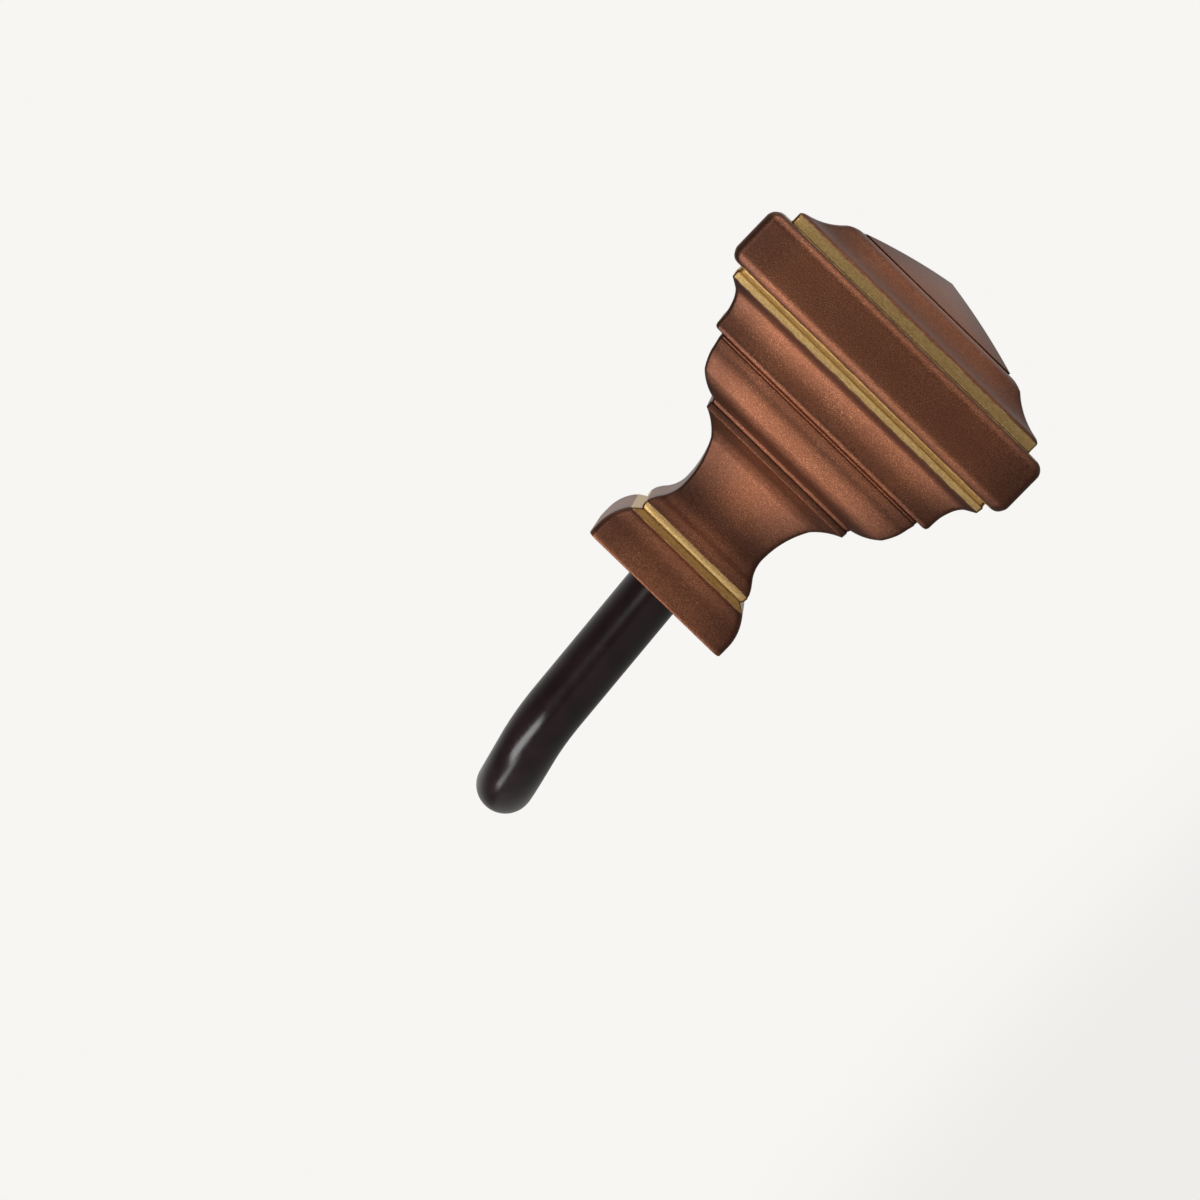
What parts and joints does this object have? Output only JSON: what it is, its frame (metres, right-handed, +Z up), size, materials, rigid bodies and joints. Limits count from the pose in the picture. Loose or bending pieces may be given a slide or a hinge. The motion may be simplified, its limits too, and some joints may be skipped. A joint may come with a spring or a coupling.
{
  "type": "curtain holdback",
  "caption": "Wall-fixed holdback hook: a bent round arm, screwed on a stud in the wall, carries a square, stepped and moulded head with a low pyramid tip.",
  "frame": {"origin": "centre of the wall fitting's back face, which lies on the wall, at the mouth of its threaded hole", "axes": "+Y into the wall, +X along the wall towards the head's tip, +Z up"},
  "size_m": [0.1508, 0.117, 0.074],
  "materials": {
    "head_paint": "cast resin in sandy satin copper-brown metallic paint, with three hand-painted antique gold lines",
    "arm_lacquer": "steel in glossy espresso lacquer",
    "insert_brass": "turned",
    "plated_steel": "zinc plated"
  },
  "bodies": {
    "root": {"head": "head_paint", "threaded_insert": "insert_brass", "stud": "plated_steel", "tube_plug": "plated_steel", "arm_tube": "arm_lacquer", "wall_fitting": "arm_lacquer"}
  },
  "joints": []
}
